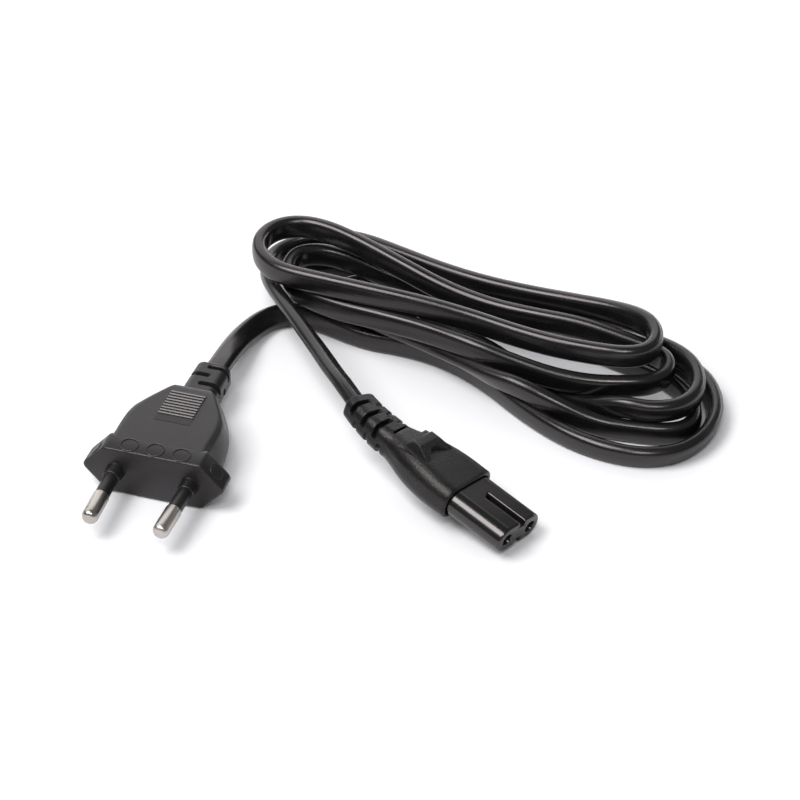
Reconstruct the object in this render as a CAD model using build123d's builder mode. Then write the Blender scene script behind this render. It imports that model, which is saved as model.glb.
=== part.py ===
import os
from math import atan2, cos, pi, radians, sin, tan

from build123d import *

os.makedirs("parts", exist_ok=True)

# Flat twin cable, standing on its narrow edge in the hank
cable_width = 5.6
cable_thick = 3.4
lead_d = 5.8
core_d = 2.1
core_apart = 2.3
core_bend = 1.7
core_straight = 2.9
strand_d = 1.3

# Two-pole plug: engagement face, collars and pins
plug_x = -36.15
plug_y = -12.1
face_width = 35.3
face_height = 13.7
face_flat = 24.4
face_corner = 1.4
face_edge = 0.5
flange_depth = 6.0
pin_d = 4.0
pin_length = 19.0
pin_apart = 18.6
pin_lean = 1.66
pin_tip = 1.44
pin_shank_d = 3.0
pin_ring_depth = 9.0
pin_ring_length = 2.0
pin_barrel_end = 19.0
crimp_depth = 6.0
sleeve_d = 3.6
sleeve_length = 10.0
collar_d = 4.9
collar_length = 3.2
bridge_front = 2.0
bridge_depth = 5.0
bridge_width = 27.0
bridge_height = 8.4
bridge_corner = 2.5

# Plug's moulded body: each section's distance behind the face, half width, half flat and height
plug_sections = [
    (5.0, 14.6, 12.1, 13.5),
    (12.0, 14.3, 12.0, 13.3),
    (18.0, 12.7, 10.4, 13.1),
    (24.0, 9.8, 7.3, 12.9),
    (28.5, 7.0, 4.6, 12.6),
]
plug_shoulder = (32.0, 4.6, 3.2, 8.0)
plug_corner = 1.6
plug_neck_front = 27.0
plug_neck_end = 43.2
plug_neck_root = (9.2, 8.0, 2.6)
plug_neck_tip = (8.4, 6.9, 2.2)
plug_jacket_front = 31.0
plug_slot_count = 3
plug_slot_first = 33.6
plug_slot_pitch = 3.4
plug_slot_wide = 1.3
grip_width = 9.2
grip_height = 13.6
grip_band_front = 13.6
grip_band_depth = 2.2
grip_rib_first = 16.4
grip_rib_count = 9
grip_rib_pitch = 1.1
grip_rib_wide = 0.55

# Figure-eight connector: nose, contacts and moulded body
nose_x = 50.75
nose_y = -2.4
nose_z = 3.97
nose_yaw = -23.2
nose_dip = 11.8
nose_roll = -9.4
bore_apart = 8.6
bore_d = 3.0
bore_lip = 3.0
nose_height = 6.7
nose_width = bore_apart + nose_height
nose_length = 16.0
insert_length = 24.0
groove_width = 2.6
groove_depth = 1.1
groove_length = 11.0
contact_d = 3.8
contact_bore = 2.3
contact_rear = 17.0
contact_stem_d = 3.0
contact_tail = 3.0
contact_end = insert_length + contact_tail
contact_slit = 0.5

# Connector body: each section's distance behind the nose's tip, width, height and corner radius
neck_front = 38.0
connector_sections = [
    (nose_length, 17.0, 8.6, 3.6),
    (27.0, 16.4, 10.0, 3.8),
    (33.0, 12.4, 9.4, 3.6),
    (neck_front, 9.2, 8.0, 3.2),
]
ramp_front = 26.0
ramp_crest = 30.0
ramp_back = 32.1
ramp_rear = 34.2
ramp_half = 3.8
ramp_foot = 4.6
ramp_top = 6.3

# Connector's neck, bent aside by the cord: width, height and corner radius at its root and its end
neck_length = 15.2
neck_bend = 20.0
neck_sunk = 2.0
neck_root = (8.9, 8.0, 2.8)
neck_tip = (6.9, 6.0, 2.2)
neck_parts = 3
neck_slot_count = 6
neck_slot_first = 0.8
neck_slot_pitch = 2.05
neck_slot_wide = 1.1

# Web that the slots of both necks leave beside the middle, and how far they cut
slot_web = 0.3
slot_reach = 12.0

# Hank: each turn's left and right end (x, y, radius of the cable's middle) and the turn's foot
hank_x = 19.45
hank_y = 67.1
turns = [
    ((-33.6, 4.3, 12.0), (47.8, -14.0, 18.0), 0.0),
    ((-32.5, 4.1, 8.0), (47.6, -11.9, 12.0), 0.0),
    ((-37.8, 7.7, 9.0), (47.6, -10.3, 12.5), 5.5),
    ((-42.0, 8.1, 9.0), (40.3, -5.3, 10.0), 5.5),
    ((-47.9, 8.2, 11.3), (36.5, -1.8, 10.0), 11.0),
]

# Free stretches of the cord: places beside the plug's face, then beside the hank, with heights
plug_middle = face_height / 2
plug_route = [
    (0.0, plug_neck_end, plug_middle),
    (0.0, 48.2, 6.5),
    (0.0, 54.2, 5.3),
    (0.2, 60.2, 3.9),
    (1.5, 65.8, 3.0),
    (4.8, 70.4, lead_d / 2),
    (9.6, 73.1, lead_d / 2),
    (15.2, 73.6, lead_d / 2),
    (20.6, 72.4, lead_d / 2),
]
connector_straight = 5.0
connector_route = [
    (-29.6, -34.8, 16.2),
    (-35.2, -26.8, 14.6),
    (-40.6, -18.2, 12.0),
    (-46.2, -9.8, 9.8),
    (-52.0, -2.6, 8.5),
    (-55.5, 4.0, 8.2),
    (-56.0, 10.6, 8.2),
    (-53.2, 16.0, 8.2),
    (-47.2, 18.8, 8.2),
]


# Plane across the plug, a distance behind its face, looking out along the pins
def plug_plane(behind):
    return Plane((plug_x, plug_y + behind, plug_middle), x_dir=(1, 0, 0), z_dir=(0, -1, 0))


# Plane at the foot of one pin, looking out along it
def pin_plane(side):
    out = Vector(0, -1, 0).rotate(Axis.Z, -side * pin_lean)
    return Plane((plug_x + side * pin_apart / 2, plug_y, plug_middle), x_dir=(0, 0, 1), z_dir=out)


nose_axis = Vector(1, 0, 0).rotate(Axis.Y, nose_dip).rotate(Axis.Z, nose_yaw)
nose_across = Vector(0, 1, 0).rotate(Axis.X, nose_roll).rotate(Axis.Y, nose_dip).rotate(Axis.Z, nose_yaw)
nose_plane = Plane((nose_x, nose_y, nose_z), x_dir=nose_across, z_dir=nose_axis)


# Plane across the connector, a distance behind the nose's tip
def connector_plane(behind):
    return nose_plane.offset(-behind)


# Plane across the connector's neck, a distance along its bend
def neck_plane(along):
    root = connector_plane(neck_front)
    swing = neck_length / radians(neck_bend)
    turn = along / swing
    back = root.z_dir * -(swing * sin(turn))
    aside = root.x_dir * (swing * (1 - cos(turn)))
    return Plane(
        root.origin + back + aside,
        x_dir=root.x_dir * cos(turn) + root.z_dir * sin(turn),
        z_dir=root.z_dir * cos(turn) - root.x_dir * sin(turn),
    )


# Six-sided outline of the plug, flat above and below and pointed at the sides
def hexagon(half_width, half_flat, height, corner):
    top = height / 2
    tip = half_width + corner * (1 / sin(atan2(top, half_width - half_flat)) - 1)
    Polygon(
        (tip, 0), (half_flat, top), (-half_flat, top),
        (-tip, 0), (-half_flat, -top), (half_flat, -top),
        align=None,
    )
    fillet(vertices(), corner)


# Room of a pair of slots in a neck: above on one side and below on the other
def neck_slot(plane, side, wide):
    middle = slot_web + slot_reach / 2
    with BuildPart() as room:
        with BuildSketch(plane):
            with Locations((side * middle, middle), (-side * middle, -middle)):
                Rectangle(slot_reach, slot_reach)
        extrude(amount=-wide)
    return room.part


# Largest arcs that the runs of a cord's route leave room for
def route_radii(points):
    stops = [Vector(*point) for point in points]
    radii = []
    for before, corner, after in zip(stops, stops[1:], stops[2:]):
        run_in = corner - before
        run_out = after - corner
        turn = run_in.get_angle(run_out)
        radii.append(0.45 * min(run_in.length, run_out.length) / tan(radians(turn) / 2))
    return radii


# Core of the cable from the jacket's end, spreading to its crimp
def core_path(plane, start, end, length):
    with BuildLine(plane) as path:
        FilletPolyline(
            (start, 0, 0), (start, 0, core_straight),
            (end, 0, length - core_straight), (end, 0, length),
            radius=core_bend,
        )
    return path.line


sides = {"left": -1, "right": 1}

# Plug's cable: a jacket end inside the strain relief, then the free lead to the hank
plug_points = [(plug_x + x, plug_y + y, z) for x, y, z in plug_route]
plug_radii = route_radii(plug_points)
with BuildPart() as plug_lead:
    with BuildLine() as plug_line:
        FilletPolyline(*plug_points, radius=plug_radii)
    with BuildSketch(plug_plane(plug_neck_end)):
        Circle(lead_d / 2)
    sweep(path=plug_line.line)
    with BuildSketch(plug_plane(plug_neck_end)):
        SlotOverall(cable_width, cable_thick)
    extrude(amount=plug_neck_end - plug_jacket_front)
plug_lead.part.label = "plug_lead"
export_step(plug_lead.part, "parts/plug_lead.step")

# Pins with crimp barrels, their sleeves, the cores and the bare strands in the crimps
plug_inner = []
for name, side in sides.items():
    foot = pin_plane(side)
    with BuildPart() as pin:
        with BuildSketch(foot.offset(sleeve_length)):
            Circle(pin_d / 2)
        extrude(amount=pin_length - sleeve_length)
        fillet(pin.edges().sort_by(Axis.Y)[0], pin_tip)
        with BuildSketch(foot.offset(sleeve_length)):
            Circle(pin_shank_d / 2)
        extrude(amount=-(sleeve_length + pin_barrel_end))
        with BuildSketch(foot.offset(-pin_ring_depth)):
            Circle(collar_d / 2)
        extrude(amount=-pin_ring_length)
        with BuildSketch(foot.offset(-pin_barrel_end)):
            Circle(strand_d / 2)
        extrude(amount=crimp_depth, mode=Mode.SUBTRACT)
    pin.part.label = "plug_pin_" + name
    export_step(pin.part, "parts/plug_pin_" + name + ".step")

    with BuildPart() as sleeve:
        with BuildSketch(foot.offset(-bridge_front)):
            Circle(sleeve_d / 2)
            Circle(pin_shank_d / 2, mode=Mode.SUBTRACT)
        extrude(amount=bridge_front + sleeve_length)
    sleeve.part.label = "plug_pin_sleeve_" + name
    export_step(sleeve.part, "parts/plug_pin_sleeve_" + name + ".step")

    with BuildPart() as strands:
        with BuildSketch(foot.offset(-pin_barrel_end)):
            Circle(strand_d / 2)
        extrude(amount=crimp_depth)
    strands.part.label = "plug_strands_" + name
    export_step(strands.part, "parts/plug_strands_" + name + ".step")

    crimp_x = side * (pin_apart / 2 + pin_barrel_end * tan(radians(pin_lean)))
    jacket = plug_plane(plug_jacket_front)
    with BuildPart() as core:
        path = core_path(jacket, side * core_apart / 2, crimp_x, plug_jacket_front - pin_barrel_end)
        with BuildSketch(jacket):
            with Locations((side * core_apart / 2, 0)):
                Circle(core_d / 2)
        sweep(path=path)
        add(pin.part, mode=Mode.SUBTRACT)
        add(strands.part, mode=Mode.SUBTRACT)
    core.part.label = "plug_core_" + name
    export_step(core.part, "parts/plug_core_" + name + ".step")
    plug_inner += [pin.part, sleeve.part, strands.part, core.part]

# Hard bridge that holds both pins, with a collar round the foot of each sleeve
with BuildPart() as plug_bridge:
    with BuildSketch(plug_plane(bridge_front)):
        RectangleRounded(bridge_width, bridge_height, bridge_corner)
    extrude(amount=-bridge_depth)
    with BuildSketch(plug_plane(bridge_front)):
        with GridLocations(pin_apart, 1, 2, 1):
            Circle(collar_d / 2)
    extrude(amount=bridge_front + collar_length)
    for piece in plug_inner:
        add(piece, mode=Mode.SUBTRACT)
plug_bridge.part.label = "plug_bridge"
export_step(plug_bridge.part, "parts/plug_bridge.step")

# Moulded plug body: flange, tapering grip, ribs and slotted strain relief
with BuildPart() as plug_body:
    for behind, half_width, half_flat, height in plug_sections:
        with BuildSketch(plug_plane(behind)):
            hexagon(half_width, half_flat, height, plug_corner)
    loft()
    for behind, half_width, half_flat, height in (plug_sections[-1], plug_shoulder):
        with BuildSketch(plug_plane(behind)):
            hexagon(half_width, half_flat, height, plug_corner)
    loft(ruled=True)
    with BuildSketch(plug_plane(0)):
        hexagon(face_width / 2, face_flat / 2, face_height, face_corner)
    extrude(amount=-flange_depth)
    fillet(plug_body.edges().group_by(Axis.Y)[0], face_edge)
    with BuildSketch(plug_plane(plug_neck_front)):
        RectangleRounded(*plug_neck_root)
    with BuildSketch(plug_plane(plug_neck_end)):
        RectangleRounded(*plug_neck_tip)
    loft()
    with BuildSketch(plug_plane(grip_band_front)):
        Rectangle(grip_width, grip_height)
    extrude(amount=-grip_band_depth)
    for rib in range(grip_rib_count):
        with BuildSketch(plug_plane(grip_rib_first + rib * grip_rib_pitch)):
            Rectangle(grip_width, grip_height)
        extrude(amount=-grip_rib_wide)
    for slot in range(plug_slot_count):
        behind = plug_slot_first + slot * plug_slot_pitch
        room = neck_slot(plug_plane(behind), -1 if slot % 2 else 1, plug_slot_wide)
        add(room, mode=Mode.SUBTRACT)
    for piece in plug_inner + [plug_bridge.part, plug_lead.part]:
        add(piece, mode=Mode.SUBTRACT)
plug_body.part.label = "plug_body"
export_step(plug_body.part, "parts/plug_body.step")

# Connector's cable: a jacket end inside the bent neck, then the free lead to the hank
neck_end = neck_plane(neck_length)
connector_points = [tuple(neck_end.origin), tuple(neck_end.offset(-connector_straight).origin)]
connector_points += [(hank_x + x, hank_y + y, z) for x, y, z in connector_route]
connector_radii = route_radii(connector_points)
with BuildPart() as connector_lead:
    with BuildLine() as connector_line:
        FilletPolyline(*connector_points, radius=connector_radii)
    with BuildSketch(neck_end):
        Circle(lead_d / 2)
    sweep(path=connector_line.line)
    with BuildLine() as jacket_line:
        ThreePointArc(neck_plane(0).origin, neck_plane(neck_length / 2).origin, neck_end.origin)
    with BuildSketch(neck_plane(0)):
        SlotOverall(cable_width, cable_thick)
    sweep(path=jacket_line.line)
connector_lead.part.label = "connector_lead"
export_step(connector_lead.part, "parts/connector_lead.step")

# Sprung contacts with crimp barrels, the cores and the bare strands in the crimps
connector_inner = []
for name, side in sides.items():
    seat = (side * bore_apart / 2, 0)
    with BuildPart() as contact:
        with BuildSketch(connector_plane(contact_rear)):
            with Locations(seat):
                Circle(contact_d / 2)
                Circle(contact_bore / 2, mode=Mode.SUBTRACT)
                Rectangle(contact_d, contact_slit, align=(Align.MIN, Align.CENTER), mode=Mode.SUBTRACT)
        extrude(amount=contact_rear - bore_lip)
        with BuildSketch(connector_plane(contact_end)):
            with Locations(seat):
                Circle(contact_stem_d / 2)
        extrude(amount=contact_end - contact_rear)
        with BuildSketch(connector_plane(contact_end)):
            with Locations(seat):
                Circle(strand_d / 2)
        extrude(amount=crimp_depth, mode=Mode.SUBTRACT)
    contact.part.label = "connector_contact_" + name
    export_step(contact.part, "parts/connector_contact_" + name + ".step")

    with BuildPart() as strands:
        with BuildSketch(connector_plane(contact_end)):
            with Locations(seat):
                Circle(strand_d / 2)
        extrude(amount=crimp_depth)
    strands.part.label = "connector_strands_" + name
    export_step(strands.part, "parts/connector_strands_" + name + ".step")

    jacket = connector_plane(neck_front)
    with BuildPart() as core:
        path = core_path(jacket, side * core_apart / 2, seat[0], neck_front - contact_end)
        with BuildSketch(jacket):
            with Locations((side * core_apart / 2, 0)):
                Circle(core_d / 2)
        sweep(path=path)
    core.part.label = "connector_core_" + name
    export_step(core.part, "parts/connector_core_" + name + ".step")
    connector_inner += [contact.part, strands.part, core.part]

# Hard insert: the figure-eight nose with its two bores and a groove above and below
with BuildPart() as connector_insert:
    with BuildSketch(connector_plane(insert_length)):
        SlotOverall(nose_width, nose_height)
    extrude(amount=insert_length)
    for up in (-1, 1):
        with BuildSketch(connector_plane(groove_length)):
            with Locations((0, up * (nose_height / 2 - groove_depth / 2))):
                Rectangle(groove_width, groove_depth)
        extrude(amount=groove_length, mode=Mode.SUBTRACT)
    with BuildSketch(connector_plane(bore_lip)):
        with GridLocations(bore_apart, 1, 2, 1):
            Circle(bore_d / 2)
    extrude(amount=bore_lip, mode=Mode.SUBTRACT)
    with BuildSketch(connector_plane(contact_rear)):
        with GridLocations(bore_apart, 1, 2, 1):
            Circle(contact_d / 2)
    extrude(amount=contact_rear - bore_lip, mode=Mode.SUBTRACT)
    with BuildSketch(connector_plane(insert_length)):
        with GridLocations(bore_apart, 1, 2, 1):
            Circle(contact_stem_d / 2)
    extrude(amount=insert_length - contact_rear, mode=Mode.SUBTRACT)
connector_insert.part.label = "connector_insert"
export_step(connector_insert.part, "parts/connector_insert.step")

# Moulded connector body: flared housing, thumb ramp and slotted, bent strain relief
with BuildPart() as connector_body:
    for behind, width, height, corner in connector_sections:
        with BuildSketch(connector_plane(behind)):
            RectangleRounded(width, height, corner)
    loft()
    for part in range(neck_parts + 1):
        share = part / neck_parts
        section = [root + (tip - root) * share for root, tip in zip(neck_root, neck_tip)]
        with BuildSketch(neck_plane(-neck_sunk + (neck_length + neck_sunk) * share)):
            RectangleRounded(*section)
    loft()
    with BuildSketch(Plane(nose_plane.origin, x_dir=-nose_axis, z_dir=nose_across)):
        Polygon(
            (ramp_front, ramp_foot), (ramp_crest, ramp_top),
            (ramp_back, ramp_top), (ramp_rear, ramp_foot),
            align=None,
        )
    extrude(amount=ramp_half, both=True)
    for slot in range(neck_slot_count):
        along = neck_slot_first + slot * neck_slot_pitch
        room = neck_slot(neck_plane(along), -1 if slot % 2 else 1, neck_slot_wide)
        add(room, mode=Mode.SUBTRACT)
    with BuildSketch(connector_plane(insert_length)):
        SlotOverall(nose_width, nose_height)
    extrude(amount=insert_length, mode=Mode.SUBTRACT)
    for piece in connector_inner + [connector_lead.part]:
        add(piece, mode=Mode.SUBTRACT)
connector_body.part.label = "connector_body"
export_step(connector_body.part, "parts/connector_body.step")

# Hank: five loose turns of the cable on edge, each a long ring on or across the ones below
with BuildPart() as cord_hank:
    for left, right, foot in turns:
        with BuildSketch(Plane.XY.offset(foot)):
            with BuildSketch(mode=Mode.PRIVATE) as outer:
                for end_x, end_y, radius in (left, right):
                    with Locations((hank_x + end_x, hank_y + end_y)):
                        Circle(radius + cable_thick / 2)
                make_hull()
            add(outer.sketch)
            offset(outer.sketch, amount=-cable_thick, mode=Mode.SUBTRACT)
        extrude(amount=cable_width)
cord_hank.part.label = "cord_hank"
export_step(cord_hank.part, "parts/cord_hank.step")

print("plug lead radii", [round(radius, 1) for radius in plug_radii])
print("connector lead radii", [round(radius, 1) for radius in connector_radii])
round_section = pi * lead_d**2 / 4
flat_section = cable_thick * (cable_width - cable_thick) + pi * cable_thick**2 / 4
for lead, line, stub in (
    (plug_lead, plug_line, plug_neck_end - plug_jacket_front),
    (connector_lead, connector_line, neck_length),
):
    length = sum(edge.length for edge in line.edges())
    wanted = round_section * length + flat_section * stub
    print(lead.part.label, "length", round(length, 1), "volume", round(lead.part.volume / wanted, 3))
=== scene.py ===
import bmesh
import bpy
from math import atan2, copysign, cos, hypot, pi, radians, sin, tan
from mathutils import Matrix, Vector


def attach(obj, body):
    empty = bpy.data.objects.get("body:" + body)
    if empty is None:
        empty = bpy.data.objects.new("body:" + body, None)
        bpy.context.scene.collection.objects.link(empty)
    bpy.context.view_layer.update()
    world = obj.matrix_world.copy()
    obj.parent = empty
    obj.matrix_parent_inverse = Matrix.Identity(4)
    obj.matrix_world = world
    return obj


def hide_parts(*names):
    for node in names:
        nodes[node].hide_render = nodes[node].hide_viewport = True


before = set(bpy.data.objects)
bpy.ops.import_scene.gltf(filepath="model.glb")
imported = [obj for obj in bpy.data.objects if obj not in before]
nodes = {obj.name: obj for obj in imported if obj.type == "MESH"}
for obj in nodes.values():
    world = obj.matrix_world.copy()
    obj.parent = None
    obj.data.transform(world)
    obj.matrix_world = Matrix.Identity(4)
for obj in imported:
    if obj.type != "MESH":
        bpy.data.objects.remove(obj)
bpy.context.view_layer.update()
scene = bpy.context.scene
mm = 0.001
print("frame loaded,", len(nodes), "nodes")


def addObject(name, data):
    thing = bpy.data.objects.new(name, data)
    scene.collection.objects.link(thing)
    return thing


# turns a camera or a lamp towards a point
def aimAt(thing, place, target):
    thing.location = place
    aim = Vector(target) - Vector(place)
    thing.rotation_euler = aim.to_track_quat("-Z", "Y").to_euler()


# camera at the photograph's viewing angle
cameraLook = {"place": (0.22545, -0.6440, 0.5471), "target": (0.00745, 0.0431, 0.0),
              "lens": 166.3, "sensor": 36.0, "nearest": 0.01}


def makeCamera(look):
    data = bpy.data.cameras.new("photoCamera")
    data.lens = look["lens"]
    data.sensor_width = look["sensor"]
    data.clip_start = look["nearest"]
    scene.camera = addObject("photoCamera", data)
    aimAt(scene.camera, look["place"], look["target"])


makeCamera(cameraLook)
print("camera set")


# node helpers: sockets feed inputs; a node's kind is given without its tree's prefix
def joinInputs(tree, node, sockets):
    for key, socket in sockets.items():
        tree.links.new(socket, node.inputs[key])


def addNode(tree, kind, values=None, sockets=None, **settings):
    node = tree.nodes.new(tree.bl_idname.removesuffix("Tree") + kind)
    for key, value in settings.items():
        setattr(node, key, value)
    for key, value in (values or {}).items():
        node.inputs[key].default_value = value
    joinInputs(tree, node, sockets or {})
    return node


def newGroup(name, inputs, outputs, kind="ShaderNodeTree"):
    group = bpy.data.node_groups.new(name, kind)
    for side, sockets in (("INPUT", inputs), ("OUTPUT", outputs)):
        for label, sort in sockets:
            group.interface.new_socket(label, in_out=side, socket_type="NodeSocket" + sort)
    return group, group.nodes.new("NodeGroupInput").outputs, group.nodes.new("NodeGroupOutput")


# group for every finish: fine grain, slow colour drift and a gloss that changes with it
grainLook = {"detail": 3.0, "roughness": 0.6, "cloudScale": 110.0, "cloudDetail": 5.0,
             "toneFrom": 0.3, "toneTo": 0.7, "glossFrom": 0.25, "glossTo": 0.75}


def makePlasticGrain(look):
    group, given, result = newGroup("plasticGrain", [
        ("Vector", "Vector"), ("Dark", "Color"), ("Light", "Color"), ("Grain Scale", "Float"),
        ("Smooth", "Float"), ("Rough", "Float")],
        [("Color", "Color"), ("Roughness", "Float"), ("Height", "Float")])
    grain = addNode(group, "TexNoise",
                    {"Detail": look["detail"], "Roughness": look["roughness"]},
                    {"Vector": given["Vector"], "Scale": given["Grain Scale"]})
    cloud = addNode(group, "TexNoise",
                    {"Scale": look["cloudScale"], "Detail": look["cloudDetail"]},
                    {"Vector": given["Vector"]})
    drift = addNode(group, "MapRange",
                    {"From Min": look["toneFrom"], "From Max": look["toneTo"]},
                    {"Value": cloud.outputs["Fac"]})
    tone = addNode(group, "Mix", None,
                   {"Factor": drift.outputs["Result"], "A": given["Dark"], "B": given["Light"]},
                   data_type="RGBA")
    gloss = addNode(group, "MapRange",
                    {"From Min": look["glossFrom"], "From Max": look["glossTo"]},
                    {"Value": cloud.outputs["Fac"], "To Min": given["Smooth"], "To Max": given["Rough"]})
    joinInputs(group, result, {"Color": tone.outputs["Result"], "Roughness": gloss.outputs["Result"],
                               "Height": grain.outputs["Fac"]})
    return group


# pale dust specks that gather in patches, as a mask
speckLook = {"scale": 900.0, "patchScale": 160.0, "patchFrom": 0.54}


def makeSpecks(look):
    group, given, result = newGroup("dustSpecks", [("Vector", "Vector"), ("Amount", "Float")],
                                    [("Mask", "Float")])
    cells = addNode(group, "TexVoronoi", {"Scale": look["scale"]},
                    {"Vector": given["Vector"]}, feature="F1")
    spot = addNode(group, "Math", None,
                   {0: cells.outputs["Distance"], 1: given["Amount"]}, operation="LESS_THAN")
    patch = addNode(group, "TexNoise", {"Scale": look["patchScale"]}, {"Vector": given["Vector"]})
    where = addNode(group, "Math", {1: look["patchFrom"]},
                    {0: patch.outputs["Fac"]}, operation="GREATER_THAN")
    both = addNode(group, "Math", None,
                   {0: spot.outputs[0], 1: where.outputs[0]}, operation="MULTIPLY")
    joinInputs(group, result, {"Mask": both.outputs[0]})
    return group


plasticGrain = makePlasticGrain(grainLook)
dustSpecks = makeSpecks(speckLook)


def newMaterial(name):
    mat = bpy.data.materials.new(name)
    mat.use_nodes = True
    mat.node_tree.nodes.clear()
    return mat, mat.node_tree, mat.node_tree.nodes.new("ShaderNodeOutputMaterial")


# start of every finish: the grain, read in Object coordinates, and its shader
def newFinish(name, look):
    mat, tree, out = newMaterial(name)
    place = tree.nodes.new("ShaderNodeTexCoord").outputs
    grain = addNode(tree, "Group", {
        "Dark": (*look["dark"], 1), "Light": (*look["light"], 1), "Grain Scale": look["grain"],
        "Smooth": look["smooth"], "Rough": look["rough"]},
        {"Vector": place["Object"]}, node_tree=plasticGrain).outputs
    shader = addNode(tree, "BsdfPrincipled", None, {"Roughness": grain["Roughness"]})
    joinInputs(tree, out, {"Surface": shader.outputs["BSDF"]})
    return mat, tree, place, grain, shader


# the blacks reflect a little warm
sheen = (1.0, 0.93, 0.92, 1)


# dust over the grain's colour, then the sheen of a black plastic
def finishBlack(tree, place, grain, shader, look, dust, relief):
    specks = addNode(tree, "Group", {"Amount": look["specks"]},
                     {"Vector": place["Object"]}, node_tree=dustSpecks)
    dusty = addNode(tree, "Mix", {"B": (dust, dust, dust, 1)},
                    {"Factor": specks.outputs["Mask"], "A": grain["Color"]}, data_type="RGBA")
    joinInputs(tree, shader, {"Base Color": dusty.outputs["Result"], "Normal": relief.outputs["Normal"]})
    shader.inputs["Specular IOR Level"].default_value = look["shine"]
    shader.inputs["Specular Tint"].default_value = sheen


# moulded plastics: the table gives each finish its tones, grain, gloss and relief
plasticLook = {
    "plugPvc": {"dark": (0.0135, 0.0130, 0.0145), "light": (0.0175, 0.0170, 0.0185), "grain": 3000.0,
                "smooth": 0.32, "rough": 0.41, "bump": 0.24, "specks": 0.040, "shine": 0.5},
    "ribPvc": {"dark": (0.0100, 0.0100, 0.0105), "light": (0.0130, 0.0130, 0.0135), "grain": 2600.0,
               "smooth": 0.24, "rough": 0.36, "bump": 0.16, "specks": 0.030, "shine": 0.65},
    "connectorPvc": {"dark": (0.0056, 0.0056, 0.0059), "light": (0.0084, 0.0084, 0.0088), "grain": 2000.0,
                     "smooth": 0.25, "rough": 0.35, "bump": 0.70, "specks": 0.040, "shine": 0.42},
    "insertGloss": {"dark": (0.0045, 0.0045, 0.0048), "light": (0.0065, 0.0065, 0.0070), "grain": 1800.0,
                    "smooth": 0.17, "rough": 0.25, "bump": 0.03, "specks": 0.030, "shine": 0.9},
    "sleevePlastic": {"dark": (0.0100, 0.0100, 0.0105), "light": (0.0150, 0.0150, 0.0155), "grain": 2200.0,
                      "smooth": 0.28, "rough": 0.38, "bump": 0.08, "specks": 0.025, "shine": 0.5},
    "corePlasticBrown": {"dark": (0.110, 0.045, 0.020), "light": (0.140, 0.060, 0.028), "grain": 1800.0,
                         "smooth": 0.35, "rough": 0.45, "bump": 0.05, "specks": 0.020, "shine": 0.5},
    "corePlasticBlue": {"dark": (0.020, 0.060, 0.240), "light": (0.028, 0.080, 0.290), "grain": 1800.0,
                        "smooth": 0.35, "rough": 0.45, "bump": 0.05, "specks": 0.020, "shine": 0.5},
}
plasticDust = 0.10
grainDeep = 0.0002


def plasticFinish(name):
    look = plasticLook[name]
    mat, tree, place, grain, shader = newFinish(name, look)
    relief = addNode(tree, "Bump", {"Strength": look["bump"], "Distance": grainDeep},
                     {"Height": grain["Height"]})
    finishBlack(tree, place, grain, shader, look, plasticDust, relief)
    return mat


# the cable's sheath: drawn streaks run along it, read from its own UV map
cableLook = {
    "dark": (0.0060, 0.0060, 0.0066), "light": (0.0090, 0.0090, 0.0096), "grain": 1500.0,
    "smooth": 0.20, "rough": 0.30, "specks": 0.03, "dust": 0.07, "shine": 0.70,
    "streakScale": (46.0, 40.0, 1.0), "streakDetail": 3.0,
    "streakBump": 0.12, "streakDeep": 0.0003, "bump": 0.05,
}


def cableFinish(look):
    mat, tree, place, grain, shader = newFinish("cablePvc", look)
    stretch = addNode(tree, "Mapping", {"Scale": look["streakScale"]}, {"Vector": place["UV"]})
    streak = addNode(tree, "TexNoise", {"Scale": 1.0, "Detail": look["streakDetail"]},
                     {"Vector": stretch.outputs["Vector"]})
    drawn = addNode(tree, "Bump", {"Strength": look["streakBump"], "Distance": look["streakDeep"]},
                    {"Height": streak.outputs["Fac"]})
    fine = addNode(tree, "Bump", {"Strength": look["bump"], "Distance": grainDeep},
                   {"Height": grain["Height"], "Normal": drawn.outputs["Normal"]})
    finishBlack(tree, place, grain, shader, look, look["dust"], fine)
    return mat


# metals: tarnish clouds, and turning lines across the pins
metalLook = {
    "nickelPlate": {"dark": (0.50, 0.46, 0.42), "light": (0.64, 0.61, 0.58), "smooth": 0.24, "rough": 0.38},
    "contactBrass": {"dark": (0.38, 0.27, 0.12), "light": (0.52, 0.38, 0.18), "smooth": 0.34, "rough": 0.48},
    "bareCopper": {"dark": (0.60, 0.28, 0.16), "light": (0.78, 0.40, 0.24), "smooth": 0.28, "rough": 0.42},
}
metalGrain = 700.0
turningLook = {"scale": (60.0, 5200.0, 60.0), "detail": 2.0, "bump": 0.06, "deep": 0.0001}


def metalFinish(name):
    lines = turningLook
    mat, tree, place, grain, shader = newFinish(name, {**metalLook[name], "grain": metalGrain})
    shader.inputs["Metallic"].default_value = 1.0
    across = addNode(tree, "Mapping", {"Scale": lines["scale"]}, {"Vector": place["Object"]})
    lathe = addNode(tree, "TexNoise", {"Scale": 1.0, "Detail": lines["detail"]},
                    {"Vector": across.outputs["Vector"]})
    relief = addNode(tree, "Bump", {"Strength": lines["bump"], "Distance": lines["deep"]},
                     {"Height": lathe.outputs["Fac"]})
    joinInputs(tree, shader, {"Base Color": grain["Color"], "Normal": relief.outputs["Normal"]})
    return mat


finish = {name: plasticFinish(name) for name in plasticLook}
finish.update({name: metalFinish(name) for name in metalLook})
finish["cablePvc"] = cableFinish(cableLook)
print("finishes made")


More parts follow.
